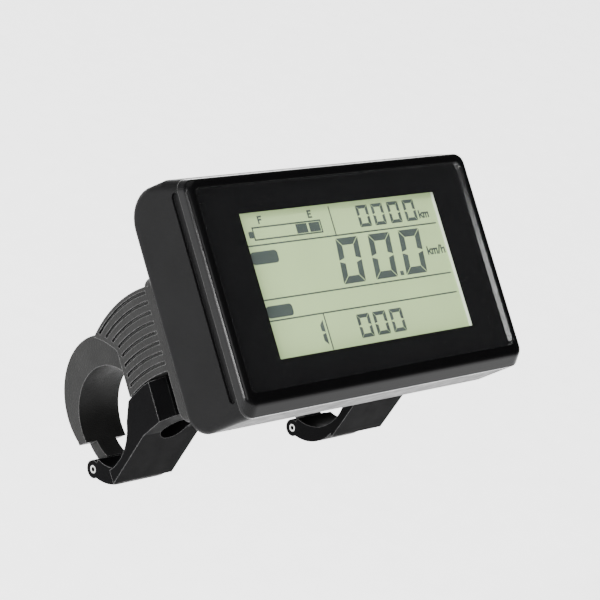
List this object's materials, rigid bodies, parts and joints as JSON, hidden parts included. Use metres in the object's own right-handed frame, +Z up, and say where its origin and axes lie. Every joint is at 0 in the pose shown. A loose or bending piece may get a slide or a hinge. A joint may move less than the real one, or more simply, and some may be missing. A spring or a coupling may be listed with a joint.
{
  "type": "e-bike display",
  "caption": "Handlebar display for an electric bicycle: a glass-fronted screen module on two ribbed, hinged bar clamps.",
  "frame": {"origin": "on the axis of the handlebar bore, midway between the two clamps", "axes": "+X along the handlebar to the rider's right, +Y forward, away from the rider, +Z up"},
  "size_m": [0.095, 0.0673, 0.0876],
  "materials": {
    "gloss_black": "polished",
    "case_black": "satin",
    "clamp_grey": "fine grain",
    "strap_black": "satin",
    "clear_lens": "polished",
    "panel_glass": "polished",
    "panel_green": "matte",
    "pale_plastic": "matte",
    "seal_rubber": "matte",
    "board_green": "satin",
    "chip_black": "matte",
    "metal_can": "satin",
    "zinc_steel": "zinc plated",
    "black_steel": "black oxide",
    "insert_brass": "machined"
  },
  "bodies": {
    "display": {"front_frame": "gloss_black", "rear_case": "case_black", "case_seal": "seal_rubber", "lens": "clear_lens", "lens_border": "gloss_black", "lens_tape": "seal_rubber", "light_spacer": "pale_plastic", "front_polariser": "panel_green", "front_glass": "panel_glass", "rear_glass": "panel_glass", "rear_polariser": "panel_green", "diffuser": "pale_plastic", "light_guide": "clear_lens", "reflector": "pale_plastic", "backlight_lamps": "pale_plastic", "panel_holder": "pale_plastic", "contact_strips": "seal_rubber", "main_board": "board_green", "controller_chip": "chip_black", "driver_chip": "chip_black", "capacitors": "metal_can", "clock_crystal": "metal_can", "lead_socket": "pale_plastic", "board_screws": "zinc_steel", "case_screws": "black_steel", "flange_screws": "black_steel", "arm_screws": "zinc_steel", "cable_gland": "seal_rubber", "left_arm": "clamp_grey", "right_arm": "clamp_grey", "left_insert": "insert_brass", "right_insert": "insert_brass"},
    "strap_left": {"left_strap": "strap_black", "left_hinge_pin": "zinc_steel"},
    "strap_right": {"right_strap": "strap_black", "right_hinge_pin": "zinc_steel"},
    "bolt_left": {"left_clamp_bolt": "black_steel"},
    "bolt_right": {"right_clamp_bolt": "black_steel"}
  },
  "joints": [
    {"name": "strap_left_hinge", "type": "hinge", "parent": "display", "child": "strap_left", "pos_m": [-0.03425, 0.00168, -0.01601], "axis": [1, 0, 0], "range_deg": [0, 75]},
    {"name": "strap_right_hinge", "type": "hinge", "parent": "display", "child": "strap_right", "pos_m": [0.03425, 0.00168, -0.01601], "axis": [1, 0, 0], "range_deg": [0, 75]},
    {"name": "bolt_left_slide", "type": "slide", "parent": "strap_left", "child": "bolt_left", "axis": [0, -0.8387, -0.5446], "range_m": [0, 0.0066]},
    {"name": "bolt_right_slide", "type": "slide", "parent": "strap_right", "child": "bolt_right", "axis": [0, -0.8387, -0.5446], "range_m": [0, 0.0066]}
  ],
  "couplings": [
    {"joint": "bolt_left_slide", "follows": "strap_left_hinge", "m_per_rad": 0.005},
    {"joint": "bolt_right_slide", "follows": "strap_right_hinge", "m_per_rad": 0.005}
  ]
}
